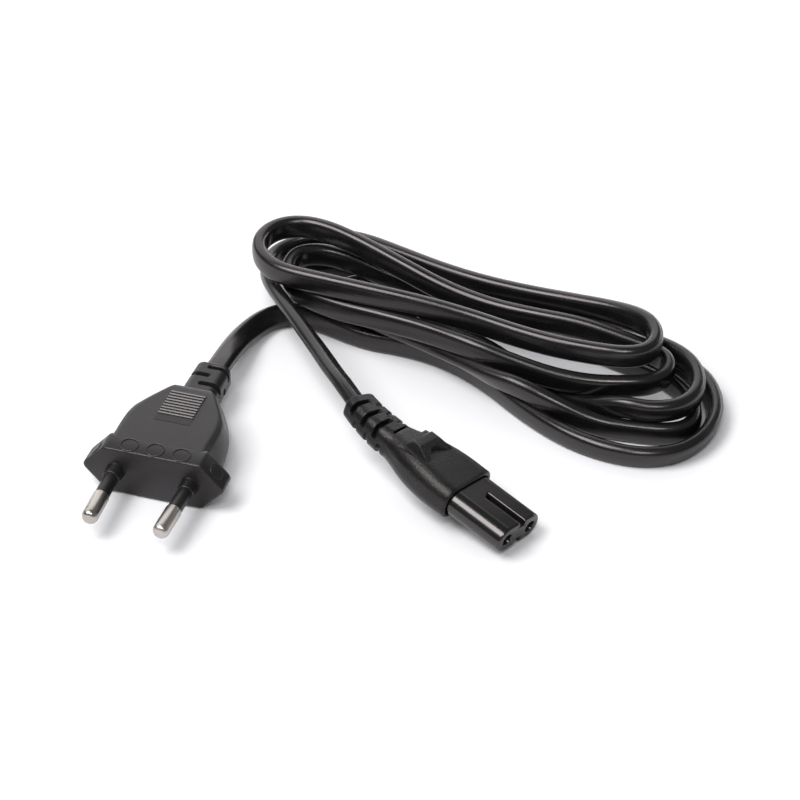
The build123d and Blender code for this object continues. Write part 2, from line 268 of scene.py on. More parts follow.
# mesh helpers: a shell is (points, faces, face corners' UV)
def skin(rings, startCap=False, endCap=False):
    count = len(rings[0])
    points = [p for ring in rings for p in ring]
    faces, uvs = [], []
    for k in range(len(rings) - 1):
        for j in range(count):
            a, b = k * count + j, k * count + (j + 1) % count
            faces.append((a, b, b + count, a + count))
            u0, u1, v0, v1 = j / count, (j + 1) / count, k / len(rings), (k + 1) / len(rings)
            uvs.append([(u0, v0), (u1, v0), (u1, v1), (u0, v1)])
    for wanted, first in ((startCap, 0), (endCap, (len(rings) - 1) * count)):
        if wanted:
            faces.append(tuple(range(first, first + count)))
            uvs.append([(0.5, 0.5)] * count)
    return points, faces, uvs


# smooth shaded but for edges sharper than an angle
def dressMesh(name, mesh, mat, sharp):
    mesh.polygons.foreach_set("use_smooth", [True] * len(mesh.polygons))
    mesh.set_sharp_from_angle(angle=radians(sharp))
    mesh.materials.append(mat)
    return addObject(name, mesh)


def makePiece(name, shells, mat, sharp):
    points, faces, uvs = [], [], []
    for shellPoints, shellFaces, shellUvs in shells:
        base = len(points)
        points += [tuple(p) for p in shellPoints]
        faces += [tuple(i + base for i in f) for f in shellFaces]
        uvs += shellUvs
    mesh = bpy.data.meshes.new(name)
    mesh.from_pydata(points, [], faces)
    layer = mesh.uv_layers.new(name="UVMap")
    layer.data.foreach_set("uv", [c for face in uvs for corner in face for c in corner])
    bm = bmesh.new()
    bm.from_mesh(mesh)
    bmesh.ops.recalc_face_normals(bm, faces=bm.faces)
    bm.to_mesh(mesh)
    bm.free()
    return dressMesh(name, mesh, mat, sharp)


# length walked at each point of a path
def walked(path):
    reach = [0.0]
    for a, b in zip(path, path[1:]):
        reach.append(reach[-1] + (b - a).length)
    return reach


# outline of a polygon with rounded corners, walked evenly from the middle of its last side
def roundOutline(corners, radii, count, cornerSteps=12):
    path = []
    total = len(corners)
    for i in range(total):
        before, here, after = (Vector(corners[(i + k) % total]) for k in (-1, 0, 1))
        a, b = (before - here).normalized(), (after - here).normalized()
        half = a.angle(b) / 2
        reach = radii[i] / tan(half)
        middle = here + (a + b).normalized() * (radii[i] / sin(half))
        start, end = here + a * reach - middle, here + b * reach - middle
        sweep = start.angle_signed(end)
        for k in range(cornerSteps + 1):
            turn = -sweep * k / cornerSteps
            c, s = cos(turn), sin(turn)
            path.append(middle + Vector((start.x * c - start.y * s, start.x * s + start.y * c)))
    first = (path[-1] + path[0]) / 2
    path = [first] + path + [first]
    reach = walked(path)
    ring, k = [], 0
    for j in range(count):
        at = reach[-1] * j / count
        while reach[k + 1] < at:
            k += 1
        t = (at - reach[k]) / max(reach[k + 1] - reach[k], 1e-9)
        ring.append(path[k].lerp(path[k + 1], t))
    return ring, reach[-1]


# rounded oblong; its radius stays just under half of either side
def boxOutline(width, height, radius, count):
    w, h = width / 2, height / 2
    r = min(radius, w - 0.01, h - 0.01)
    return roundOutline([(w, h), (w, -h), (-w, -h), (-w, h)], [r] * 4, count)


# smooth line through a table's rows, read at one place
def tableAt(rows, at):
    if at <= rows[0][0]:
        return rows[0][1:]
    if at >= rows[-1][0]:
        return rows[-1][1:]
    i = max(k for k in range(len(rows) - 1) if rows[k][0] <= at)
    a, b = rows[i], rows[i + 1]
    p, q = rows[max(i - 1, 0)], rows[min(i + 2, len(rows) - 1)]
    span = b[0] - a[0]
    t = (at - a[0]) / span
    found = []
    for c in range(1, len(a)):
        ma = (b[c] - p[c]) / (b[0] - p[0]) * span
        mb = (q[c] - a[c]) / (q[0] - a[0]) * span
        if (b[c] - a[c]) * (a[c] - p[c]) <= 0 and i > 0:
            ma = 0.0
        if (q[c] - b[c]) * (b[c] - a[c]) <= 0 and i + 2 < len(rows):
            mb = 0.0
        found.append((2 * t**3 - 3 * t**2 + 1) * a[c] + (t**3 - 2 * t**2 + t) * ma
                     + (3 * t**2 - 2 * t**3) * b[c] + (t**3 - t**2) * mb)
    return found


# straight line through a table's rows, read at one place
def along(table, at):
    if at <= table[0][0]:
        return table[0][1]
    for (a, va), (b, vb) in zip(table, table[1:]):
        if at <= b:
            return va + (vb - va) * (at - a) / (b - a)
    return table[-1][1]


def clamp(t):
    return min(1.0, max(0.0, t))


def ease(t):
    t = clamp(t)
    return t * t * (3 - 2 * t)


# 1 inside an edge, 0 outside it, over a soft step
def within(room, edge):
    return ease(room / edge + 0.5)


def steps(start, end, step):
    count = max(1, round((end - start) / step))
    return [start + (end - start) * k / count for k in range(count + 1)]


# cord: one flat twin cable from the plug's neck, through the hank, to the connector's neck, in mm
cordLook = {
    "width": 5.9, "thickness": 3.5, "corner": 1.6, "belly": 0.10, "perPoint": 10, "sharp": 60.0,
    # where it leaves the plug, in metres
    "exit": (-0.03615, 0.0311, 0.00685),
    # how far the section is turned, against the length from the plug: 90 lies flat, 0 stands on edge
    "twist": [(0, -90), (5, -90), (11, -82), (18, -66), (25, -48), (32, -32), (39, -18), (47, -7),
              (58, 0), (110, 0), (135, 8), (158, 20), (176, 20), (196, 8), (215, 0), (291, 0),
              (297, 12), (303, 30), (309, 52), (316, 74), (324, 88), (342, 88), (350, 74),
              (359, 50), (368, 26), (378, 8), (388, 0)],
    # the same, against the length back from the connector
    "twistEnd": [(0, 48), (10, 47), (20, 45), (28, 41), (36, 35), (44, 31), (54, 29), (60, 22),
                 (66, 8), (73, -6), (82, -4), (92, 0)],
    # small uneven turns of the loose part, which starts and stops this far from its ends, over a length
    "sway": 4.0, "swayLength": 45.0, "loose": (60.0, 90.0, 50.0),
    # second, quicker turn: share, rate and start
    "quickSway": (0.6, 2.3, 1.0),
    "plugLead": [(-36.2, 31.1, 6.8), (-36.2, 34.6, 6.7), (-36.2, 42.7, 5.6), (-36.2, 48.6, 4.4),
                 (-35.7, 53.8, 3.5), (-34.3, 58.7, 3.2), (-32.2, 62.6, 2.9), (-29.0, 64.9, 2.9),
                 (-25.0, 65.6, 2.9), (-19.9, 64.7, 2.9)],
    "hank": [
        # lowest front run and the outermost right bend, on the floor
        (-7.6, 60.8, 2.9), (2.7, 61.3, 2.9), (13.8, 59.5, 2.9), (25.5, 54.0, 2.9),
        (38.2, 44.7, 2.9), (49.7, 38.2, 2.9), (59.8, 35.2, 2.9), (69.7, 34.9, 2.9),
        (78.0, 38.6, 2.9), (82.5, 46.0, 2.9), (83.6, 55.0, 2.9), (81.4, 63.2, 2.9),
        (76.9, 70.1, 2.9), (69.5, 74.6, 2.9),
        # back along the floor, round the hidden left bend
        (57.2, 78.1, 2.9), (42.7, 80.9, 2.9), (27.3, 83.2, 2.9), (11.8, 85.6, 2.9),
        (-2.4, 87.6, 2.9), (-13.2, 88.4, 2.9), (-23.9, 87.3, 2.9), (-31.3, 83.3, 2.9),
        (-32.0, 76.7, 2.9), (-27.9, 70.6, 4.4), (-21.5, 67.7, 6.6),
        # front run that lies flat between the first one and the middle layer, then stands up
        (-12.9, 65.4, 7.8), (-3.6, 62.1, 7.9), (6.8, 59.1, 7.8), (18.1, 54.0, 7.9),
        (28.7, 47.9, 8.7), (37.8, 44.7, 9.5), (47.1, 43.5, 6.6), (56.6, 43.6, 3.2),
        (66.3, 44.5, 2.9), (74.3, 45.8, 2.9), (79.1, 49.5, 2.9), (78.4, 57.0, 2.9),
        (73.2, 63.9, 2.9), (66.1, 68.3, 2.9),
        # second back run on the floor and its small left bend
        (56.3, 71.0, 2.9), (44.9, 74.0, 2.9), (32.5, 76.8, 2.9), (19.0, 79.7, 2.9),
        (5.5, 82.3, 2.9), (-5.5, 83.9, 2.9), (-13.8, 83.8, 2.9), (-19.3, 79.9, 2.9),
        (-20.3, 74.4, 2.9), (-16.0, 70.3, 2.9), (-8.9, 68.3, 2.9),
        # hidden front run, then up on to the middle layer at the right
        (-0.5, 68.3, 2.9), (10.6, 69.4, 2.9), (23.3, 65.9, 2.9), (35.3, 57.7, 2.9),
        (45.4, 52.3, 2.8), (54.0, 48.3, 4.5), (62.1, 46.3, 8.5), (69.4, 46.2, 8.3),
        (76.1, 49.1, 8.6), (78.9, 55.4, 8.9), (77.2, 62.7, 9.0), (72.9, 68.1, 9.1),
        (66.3, 71.2, 9.3),
        # middle back run, left bend, middle front run
        (56.9, 72.3, 9.6), (47.1, 73.3, 9.3), (36.5, 73.7, 8.7), (26.0, 73.7, 7.9),
        (15.0, 75.3, 7.3), (3.6, 78.2, 7.1), (-7.6, 80.7, 7.9), (-17.6, 82.1, 10.0),
        (-25.1, 81.3, 11.4), (-30.5, 77.8, 12.0), (-31.3, 71.7, 12.1), (-28.6, 65.6, 12.1),
        (-23.4, 61.5, 12.2), (-14.3, 58.8, 12.1), (-2.2, 56.9, 12.8), (9.8, 55.4, 12.9),
        (22.6, 51.5, 13.5), (33.3, 50.7, 11.4), (44.0, 50.1, 9.9), (53.2, 50.9, 9.3),
        (60.7, 52.5, 9.6), (67.2, 55.0, 9.6), (70.4, 60.0, 9.6), (69.0, 65.2, 9.8),
        (64.0, 67.8, 9.8),
        # top layer: back run, large left bend, front run, right bend
        (55.1, 68.3, 11.3), (45.4, 69.2, 12.4), (33.7, 69.4, 12.2), (21.9, 70.4, 12.0),
        (9.6, 72.7, 13.0), (-3.0, 76.0, 15.4), (-13.4, 79.0, 17.2), (-22.5, 81.6, 18.1),
        (-29.9, 82.6, 18.0), (-35.6, 80.2, 18.0), (-38.6, 75.0, 18.0), (-38.1, 68.9, 18.0),
        (-34.0, 63.5, 18.0), (-28.3, 60.6, 18.1), (-18.8, 59.8, 18.2), (-6.0, 59.0, 18.2),
        (7.7, 59.0, 17.5), (20.3, 58.7, 16.3), (32.4, 57.1, 15.4), (43.2, 55.8, 15.3),
        (52.7, 55.6, 15.5), (59.6, 55.8, 15.8), (64.5, 58.1, 15.8), (66.3, 62.7, 15.8),
        (64.9, 68.1, 15.8), (60.7, 72.3, 15.8),
        # topmost back run, down under the left bend
        (52.3, 75.6, 14.2), (40.7, 77.3, 12.9), (28.9, 78.2, 12.2), (17.0, 79.1, 12.2),
        (5.9, 81.0, 12.4), (-5.6, 84.3, 12.5), (-16.2, 87.8, 12.1), (-25.1, 89.5, 10.6),
        (-32.5, 87.9, 8.5), (-37.6, 84.0, 7.4), (-39.0, 78.6, 7.4)],
    "connectorLead": [(-36.2, 70.3, 9.2), (-31.7, 62.4, 11.8), (-26.1, 55.2, 13.2),
                      (-19.3, 47.2, 13.7), (-11.8, 38.7, 13.9), (-5.6, 30.9, 14.6),
                      (-2.2, 26.9, 15.2), (0.8, 23.6, 15.0), (4.1, 20.4, 14.4)],
}


# points of the cord's middle line, read from a spline over its control points
def readLine(points, perPoint):
    curve = bpy.data.curves.new("cordLine", "CURVE")
    curve.dimensions = "3D"
    spline = curve.splines.new("NURBS")
    spline.points.add(len(points) - 1)
    for control, p in zip(spline.points, points):
        control.co = (*(c * mm for c in p), 1.0)
    spline.order_u = 3
    spline.use_endpoint_u = True
    spline.resolution_u = perPoint
    holder = addObject("cordLine", curve)
    mesh = bpy.data.meshes.new_from_object(holder)
    line = [v.co.copy() for v in mesh.vertices]
    bpy.data.meshes.remove(mesh)
    bpy.data.objects.remove(holder)
    bpy.data.curves.remove(curve)
    return line


# flat oblong with round corners, its points closer together round them, its wide sides a little full
def flatSection(look, cornerSteps=8):
    r = look["corner"]
    w, h = look["width"] / 2 - r, look["thickness"] / 2 - r
    ring = []
    for k, (x, y) in enumerate([(w, h), (-w, h), (-w, -h), (w, -h)]):
        for n in range(cornerSteps + 1):
            turn = pi / 2 * (k + n / cornerSteps)
            ring.append((x + r * cos(turn), y + r * sin(turn)))
        if k % 2 == 0:
            for u in (0.5, 0.0, -0.5):
                ring.append((x * u, copysign(h + r + look["belly"] * (1 - u * u), y)))
        else:
            ring.append((copysign(w + r, x), 0.0))
    return [(a * mm, b * mm) for a, b in ring]


def makeCord(look, mat):
    line = readLine(look["plugLead"] + look["hank"] + look["connectorLead"], look["perPoint"])
    reach = walked(line)
    total = reach[-1]
    section = flatSection(look)
    looseFrom, looseTo, looseOver = look["loose"]
    share, rate, start = look["quickSway"]
    rings = []
    for k, p in enumerate(line):
        tangent = (line[min(k + 1, len(line) - 1)] - line[max(k - 1, 0)]).normalized()
        side = tangent.cross(Vector((0, 0, 1))).normalized()
        up = side.cross(tangent)
        at, left = reach[k] / mm, (total - reach[k]) / mm
        turn = tableAt(look["twist"], at)[0] + tableAt(look["twistEnd"], left)[0]
        loose = ease((at - looseFrom) / looseOver) * ease((left - looseTo) / looseOver)
        wave = at / look["swayLength"]
        turn += loose * look["sway"] * (sin(wave) + share * sin(wave * rate + start))
        c, s = cos(radians(turn)), sin(radians(turn))
        wide, thin = up * c + side * s, side * c - up * s
        rings.append([p + wide * a + thin * b for a, b in section])
    points, faces, uvs = skin(rings, True, True)
    # the UV map's second axis is metres along the cord
    for k in range(len(line) - 1):
        for j in range(k * len(section), (k + 1) * len(section)):
            uvs[j] = [(u, reach[k + (n > 1)]) for n, (u, v) in enumerate(uvs[j])]
    piece = makePiece("cordFlex", [(points, faces, uvs)], mat, look["sharp"])
    print("cord", round(total, 4), "m,", len(line), "points,", len(faces), "faces")
    return piece, line, total


cord, cordLine, cordLength = makeCord(cordLook, finish["cablePvc"])


# slots of a cable neck: a mask over the place round the section and the place along it
def slotMask(around, at, girth, slots, edge=0.28):
    deepest = 0.0
    for place, side, start, end, half in slots:
        for opposite in (0.0, girth / 2):
            u = side * ((around + opposite + girth / 2) % girth - girth / 2)
            gap = max(start - u, 0.0, u - end)
            away = hypot(gap, at - place)
            deepest = max(deepest, within(half - away, edge))
    return deepest


def neckRing(section, count, at, slots, sunk):
    ring, girth = boxOutline(*section, count)
    return [p * (1 - sunk * slotMask(girth * j / count, at, girth, slots)) for j, p in enumerate(ring)]


# a neck's rounded end: each row is a place and how far the section draws in there
def neckEnds(section, rows, count):
    width, height, radius = section
    return [(at, boxOutline(width - 2 * inset, height - 2 * inset, radius - inset * 0.6, count)[0])
            for at, inset in rows]


# turned solid: each row of the profile is a place out from the foot and a radius
def turned(profile, foot, out, count):
    across = out.cross(Vector((0, 0, 1))).normalized()
    up = across.cross(out)
    turns = [2 * pi * k / count for k in range(count)]
    rings = []
    for at, r in profile:
        rings.append([(foot + out * at + across * (r * cos(turn)) + up * (r * sin(turn))) * mm
                      for turn in turns])
    return skin(rings, True, True)


# plug: face and ears, body, ribbed grip, blank rings, slotted neck
plugLook = {
    "place": (-36.15, -12.1, 6.85), "around": 180, "sharp": 32.0,
    # ears and body: behind the face, half width, half flat, half height, tip's and flat's rounding
    "ears": [(0.0, 16.9, 11.6, 5.9, 1.2, 0.5), (0.08, 17.2, 11.85, 6.12, 1.3, 0.5),
             (0.25, 17.5, 12.05, 6.27, 1.3, 0.5), (0.5, 17.65, 12.15, 6.35, 1.3, 0.5),
             (2.6, 17.65, 12.2, 6.58, 1.3, 0.5), (4.6, 17.65, 12.2, 6.76, 1.3, 0.5),
             (5.0, 17.65, 12.2, 6.70, 1.3, 0.5), (5.6, 17.6, 12.2, 6.55, 1.3, 0.5),
             (5.85, 17.45, 12.1, 6.45, 1.3, 0.5), (6.0, 17.1, 11.8, 6.2, 1.2, 0.5)],
    "body": [(3.0, 14.0, 11.6, 6.60, 3.4, 1.6), (5.0, 14.0, 11.7, 6.74, 3.4, 1.7),
             (8.0, 14.0, 11.6, 6.74, 3.4, 1.8), (12.0, 13.8, 11.65, 6.72, 3.4, 1.8),
             (15.0, 13.4, 11.6, 6.68, 3.3, 1.8), (17.0, 13.0, 11.3, 6.65, 3.2, 1.8),
             (18.5, 12.6, 10.9, 6.62, 3.1, 1.9), (20.0, 12.0, 10.1, 6.59, 3.0, 1.8),
             (22.0, 11.2, 9.0, 6.55, 2.9, 1.7), (24.0, 10.2, 7.8, 6.50, 2.8, 1.6),
             (26.0, 9.1, 6.6, 6.44, 2.6, 1.5), (27.5, 8.2, 5.7, 6.36, 2.5, 1.4),
             (28.3, 7.7, 5.2, 6.20, 2.4, 1.3), (28.8, 7.3, 4.8, 5.85, 2.3, 1.2),
             (29.2, 6.9, 4.4, 5.2, 2.2, 1.1), (29.6, 6.4, 4.0, 4.3, 2.1, 1.0),
             (30.5, 5.5, 3.4, 3.7, 1.9, 1.0), (32.0, 4.7, 2.9, 3.4, 1.8, 1.0)],
    # the body's rings: evenly over its length, then closer over the shoulder
    "bodyRings": (3.0, 27.5, 0.5),
    "shoulder": [27.9, 28.3, 28.55, 28.8, 29.0, 29.2, 29.4, 29.6, 29.9, 30.5, 31.2, 32.0],
    # behind the face, width, height and corner radius
    "neck": [(28.0, 9.3, 7.2, 2.3), (33.0, 9.1, 7.05, 2.3), (38.0, 8.9, 6.95, 2.2), (42.5, 8.7, 6.85, 2.2)],
    "neckAround": 168, "neckStep": 0.16, "neckEnd": [(42.8, 0.12), (43.0, 0.35), (43.1, 0.7)],
    # slots: place behind the face, side, start and end round the section, half width
    "slots": [(34.2, 1, -0.2, 6.3, 0.62), (37.7, -1, -0.2, 6.3, 0.62), (41.0, 1, -0.2, 6.3, 0.62)],
    "slotSunk": 0.36,
    "grip": {"front": 13.5, "rear": 26.0, "half": 4.6, "proud": 0.07, "sunk": 0.6, "bevel": 0.05,
             # from either end of the plate: how much of its height it has
             "ends": [(0.0, -0.3), (0.02, 0.8), (0.14, 1.0)],
             "ribs": 9, "first": 16.4, "pitch": 1.1, "above": 0.40, "below": 0.14, "ribInset": 0.12,
             # one rib: a broad chamfer on its front edge, and rounded ends
             "ribProfile": [(-0.30, -1.0), (-0.29, 0.0), (-0.28, 0.52), (-0.04, 0.97), (0.0, 1.0),
                            (0.12, 1.0), (0.15, 0.9), (0.20, 0.0), (0.21, -1.0)],
             "ribEnds": [(0.0, 0.55), (0.06, 0.9), (0.16, 1.0)], "ribSharp": 12.0},
    # blank rings on the slope of the ears' top and on their sides; a slope is rise and run
    "rings": {"at": (-6.4, 0.1, 6.6), "behind": 2.45, "up": 6.55, "slope": (0.41, 4.1),
              "radius": 2.15, "line": 0.20},
    "sideRings": {"across": 15.05, "behind": 3.0, "up": 3.33, "slope": (6.5, 5.45),
                  "radius": 1.95, "line": 0.15},
}


def plugPoint(x, behind, z):
    px, py, pz = plugLook["place"]
    return Vector((px + x, py + behind, pz + z)) * mm


def plugRing(ring, behind):
    return [plugPoint(p.x, behind, p.y) for p in ring]


def hexOutline(halfWidth, halfFlat, halfHeight, tip, flat, count):
    reach = halfWidth + tip * (1 / sin(atan2(halfHeight, halfWidth - halfFlat)) - 1)
    corners = [(halfFlat, halfHeight), (reach, 0), (halfFlat, -halfHeight),
               (-halfFlat, -halfHeight), (-reach, 0), (-halfFlat, halfHeight)]
    return roundOutline(corners, [flat, tip, flat, flat, tip, flat], count)[0]


def plugTop(behind):
    return tableAt(plugLook["body"], behind)[2]


# rows at both ends of a span, given once as a distance from the end and a value
def bothEnds(start, end, rows):
    return [(start + d, v) for d, v in rows] + [(end - d, v) for d, v in reversed(rows)]


# thin plate under the ribs and its plain front band, following the body's slope
def gripPlate(grip, hand):
    half, bevel = grip["half"], grip["bevel"]
    rings = []
    for behind, share in bothEnds(grip["front"], grip["rear"], grip["ends"]):
        top = plugTop(behind) + grip["proud"] * share
        low = plugTop(behind) - grip["sunk"]
        outline = [(half, low), (half, top - bevel), (half - bevel, top), (0.0, top),
                   (bevel - half, top), (-half, top - bevel), (-half, low)]
        rings.append([plugPoint(x, behind, hand * z) for x, z in outline])
    return skin(rings, True, True)


# raised ring on a surface, a little flatter than round
def ringShell(middle, normal, look, around=40, across=8):
    side = normal.cross(Vector((0, 1, 0))).normalized()
    other = normal.cross(side)
    line = look["line"]
    rings = []
    for k in range(around + 1):
        turn = 2 * pi * k / around
        out = side * cos(turn) + other * sin(turn)
        ring = []
        for j in range(across):
            a = 2 * pi * j / across
            off = out * (look["radius"] + line * cos(a)) + normal * (line * 0.9 * sin(a))
            ring.append(middle + off * mm)
        rings.append(ring)
    return skin(rings)


def makePlug(look, mat):
    count, neckCount, neck = look["around"], look["neckAround"], look["neck"]
    ears = [plugRing(hexOutline(*row[1:], count), row[0]) for row in look["ears"]]
    body = [plugRing(hexOutline(*tableAt(look["body"], at), count), at)
            for at in steps(*look["bodyRings"]) + look["shoulder"]]
    sleeve = [plugRing(neckRing(tableAt(neck, at), neckCount, at, look["slots"], look["slotSunk"]), at)
              for at in steps(neck[0][0], neck[-1][0], look["neckStep"])]
    sleeve += [plugRing(ring, at) for at, ring in neckEnds(neck[-1][1:], look["neckEnd"], neckCount)]
    shells = [skin(rings, True, True) for rings in (ears, body, sleeve)]
    shells += [gripPlate(look["grip"], hand) for hand in (1, -1)]
    marks = look["rings"]
    tilt = atan2(*marks["slope"])
    for x in marks["at"]:
        normal = Vector((0, -sin(tilt), cos(tilt)))
        shells.append(ringShell(plugPoint(x, marks["behind"], marks["up"]), normal, marks))
    marks = look["sideRings"]
    lean = atan2(*marks["slope"])
    for side in (1, -1):
        middle = plugPoint(side * marks["across"], marks["behind"], marks["up"])
        normal = Vector((side * sin(lean), 0, cos(lean)))
        shells.append(ringShell(middle, normal, marks))
    return makePiece("plugShell", shells, mat, look["sharp"])


plugShell = makePlug(plugLook, finish["plugPvc"])
print("plug shell", len(plugShell.data.polygons), "faces")


# ribs of the grip: one rib repeated down the plate by a node tree
def makeRibTree():
    tree, given, result = newGroup("gripRibs", [
        ("Geometry", "Geometry"), ("Rib", "Object"), ("Count", "Int"), ("First", "Vector"),
        ("Step", "Vector"), ("Finish", "Material")], [("Geometry", "Geometry")], "GeometryNodeTree")
    row = addNode(tree, "MeshLine", None, {
        "Count": given["Count"], "Start Location": given["First"], "Offset": given["Step"]}, mode="OFFSET")
    rib = addNode(tree, "ObjectInfo", None, {"Object": given["Rib"]})
    place = addNode(tree, "InstanceOnPoints", None,
                    {"Points": row.outputs["Mesh"], "Instance": rib.outputs["Geometry"]})
    real = addNode(tree, "RealizeInstances", None, {"Geometry": place.outputs["Instances"]})
    dressed = addNode(tree, "SetMaterial", None,
                      {"Geometry": real.outputs["Geometry"], "Material": given["Finish"]})
    joinInputs(tree, result, {"Geometry": dressed.outputs["Geometry"]})
    return tree


# runs a tree on an empty mesh and keeps the result as a plain mesh
def runTree(name, tree, values):
    holder = addObject(name + "Seed", bpy.data.meshes.new(name + "Seed"))
    modifier = holder.modifiers.new("nodes", "NODES")
    modifier.node_group = tree
    for item in tree.interface.items_tree:
        if item.in_out == "INPUT" and item.name in values:
            modifier[item.identifier] = values[item.name]
    graph = bpy.context.evaluated_depsgraph_get()
    made = bpy.data.meshes.new_from_object(holder.evaluated_get(graph), depsgraph=graph)
    holder.modifiers.remove(modifier)
    bpy.data.objects.remove(holder)
    made.name = name
    return addObject(name, made)


def ribSeed(grip, hand, mat):
    half = grip["half"] - grip["ribInset"]
    high = grip["above"] if hand > 0 else grip["below"]
    rings = []
    for x, share in bothEnds(-half, half, grip["ribEnds"]):
        rings.append([Vector((x, dy, hand * high * (dz * share if dz > 0 else dz))) * mm
                      for dy, dz in grip["ribProfile"]])
    return makePiece("ribSeed", [skin(rings, True, True)], mat, grip["ribSharp"])


def makeRibs(grip, mat):
    tree = makeRibTree()
    first, count = grip["first"], grip["ribs"]
    drop = (plugTop(first + grip["pitch"] * (count - 1)) - plugTop(first)) / (count - 1)
    made = []
    for name, hand in (("gripRibsTop", 1), ("gripRibsUnder", -1)):
        seed = ribSeed(grip, hand, mat)
        made.append(runTree(name, tree, {
            "Rib": seed, "Count": count, "First": plugPoint(0, first, hand * plugTop(first)),
            "Step": Vector((0, grip["pitch"], hand * drop)) * mm, "Finish": mat}))
        bpy.data.objects.remove(seed)
    return made


gripRibs = makeRibs(plugLook["grip"], finish["ribPvc"])
print("grip ribs", [len(r.data.polygons) for r in gripRibs])


# pins, sleeves and collars, turned round each pin's own axis, and the bridge that holds them
pinLook = {
    "apart": 18.6, "lean": 1.66, "around": 56, "sharp": 40.0,
    # out from the face and radius
    "pin": [(-19.0, 1.3), (-18.8, 1.5), (-11.0, 1.5), (-11.0, 2.35), (-9.0, 2.35), (-9.0, 1.5),
            (9.95, 1.5), (9.97, 1.86), (10.05, 1.97), (10.15, 2.0), (17.3, 2.0), (17.6, 1.99),
            (17.9, 1.95), (18.2, 1.86), (18.45, 1.73), (18.68, 1.54), (18.84, 1.30), (18.94, 1.02),
            (18.99, 0.7), (19.0, 0.35), (19.0, 0.02)],
    "sleeve": [(-2.0, 1.80), (3.0, 1.80), (9.6, 1.80), (9.85, 1.79), (9.95, 1.74), (9.98, 1.55)],
    "collar": [(-2.0, 2.3), (-0.1, 2.42), (0.05, 2.34), (0.25, 2.28), (0.5, 2.25), (2.8, 2.18),
               (3.0, 2.14), (3.12, 2.07), (3.2, 1.95), (3.2, 1.75)],
    "bridge": {"width": 27.0, "height": 8.4, "radius": 2.5, "around": 60,
               "front": 2.0, "rear": 7.0, "edge": 0.3},
}


def makePins(look):
    shells = {"pin": [], "sleeve": [], "collar": []}
    lean = radians(look["lean"])
    for side in (-1, 1):
        foot = Vector(plugLook["place"]) + Vector((side * look["apart"] / 2, 0, 0))
        out = Vector((-side * sin(lean), -cos(lean), 0))
        for part, axis in (("pin", out), ("sleeve", out), ("collar", Vector((0, -1, 0)))):
            shells[part].append(turned(look[part], foot, axis, look["around"]))
    pairs = []
    for part, mat in (("pin", finish["nickelPlate"]), ("sleeve", finish["sleevePlastic"])):
        pairs.append([makePiece(part + hand, [shell], mat, look["sharp"])
                      for hand, shell in zip(("Left", "Right"), shells[part])])
    block = look["bridge"]
    rings = []
    for at, inset in bothEnds(block["front"], block["rear"], [(0.0, block["edge"]), (block["edge"], 0.0)]):
        outline = boxOutline(block["width"] - 2 * inset, block["height"] - 2 * inset,
                             block["radius"], block["around"])[0]
        rings.append(plugRing(outline, at))
    bridge = shells["collar"] + [skin(rings, True, True)]
    return *pairs, makePiece("pinBridge", bridge, finish["sleevePlastic"], look["sharp"])


pins, sleeves, pinBridge = makePins(pinLook)
print("pins turned")


# connector: moulded body with a thumb ramp and a bent, slotted neck
connectorLook = {
    "tip": (50.75, -2.4, 3.97), "yaw": -23.2, "dip": 11.8, "roll": -9.4, "around": 200, "sharp": 34.0,
    # behind the nose's tip, width, height and corner radius; the neck's rows follow its bend
    "lip": [(17.6, 15.6, 7.0, 3.45), (16.3, 15.6, 7.0, 3.45), (16.05, 15.8, 7.2, 3.45),
            (16.0, 16.1, 7.5, 3.4), (16.0, 16.4, 7.7, 3.3), (16.06, 16.8, 8.05, 3.3),
            (16.2, 17.1, 8.35, 3.3), (16.4, 17.25, 8.52, 3.3)],
    "body": [(16.6, 17.3, 8.6, 3.3), (19.0, 17.3, 8.9, 3.5), (22.0, 17.1, 9.3, 3.7),
             (25.0, 16.4, 9.6, 3.8), (28.0, 15.4, 9.7, 3.9), (31.0, 13.9, 9.5, 3.9),
             (33.0, 12.6, 9.2, 3.8), (35.0, 11.1, 8.8, 3.6), (36.8, 9.8, 8.4, 3.4),
             (38.4, 9.0, 8.1, 3.2), (41.0, 9.0, 7.9, 2.9), (46.0, 8.5, 7.4, 2.6), (52.6, 8.0, 6.8, 2.4)],
    "bodyStep": 0.5, "neckStep": 0.16, "neckEnd": [(52.9, 0.12), (53.1, 0.3), (53.2, 0.6)],
    "neckFront": 38.0, "neckLength": 15.2, "neckBend": 20.0,
    # as on the plug; the slots' own shape starts a little before the neck
    "slots": [(38.3, 1, -2.1, 2.2, 0.22), (40.1, 1, 1.8, 6.4, 0.55), (42.0, -1, -0.3, 6.2, 0.58),
              (44.1, 1, 1.8, 6.0, 0.55), (45.9, -1, -0.3, 5.8, 0.58), (48.1, 1, 1.8, 5.6, 0.55),
              (50.1, -1, -0.3, 5.4, 0.58)],
    "slotSunk": 0.34, "slotsFrom": 37.5,
    "ramp": {"front": 26.1, "crest": 30.0, "back": 32.1, "rear": 33.9, "half": 3.8, "foot": 4.6, "top": 6.3,
             # grid: step, margins before and behind, reach to either side, depth into the body
             "step": 0.12, "before": 0.6, "behind": 0.9, "reach": 5.4, "sunk": 0.5,
             # steepness of the back and the sides, and how softly the faces meet
             "backFall": 1.25, "sideFall": 3.2, "sideInset": 0.25, "soft": 0.10,
             # arch: share of the slope and half width
             "window": [(0.0, 3.3), (0.2, 2.6), (0.42, 1.7), (0.6, 1.0)],
             "windowEdge": 0.18, "windowEnd": 0.05, "sill": 0.4, "sharp": 40.0},
}


def turnedVector(v, look):
    for angle, axis in (("roll", "X"), ("dip", "Y"), ("yaw", "Z")):
        v = Matrix.Rotation(radians(look[angle]), 3, axis) @ v
    return v


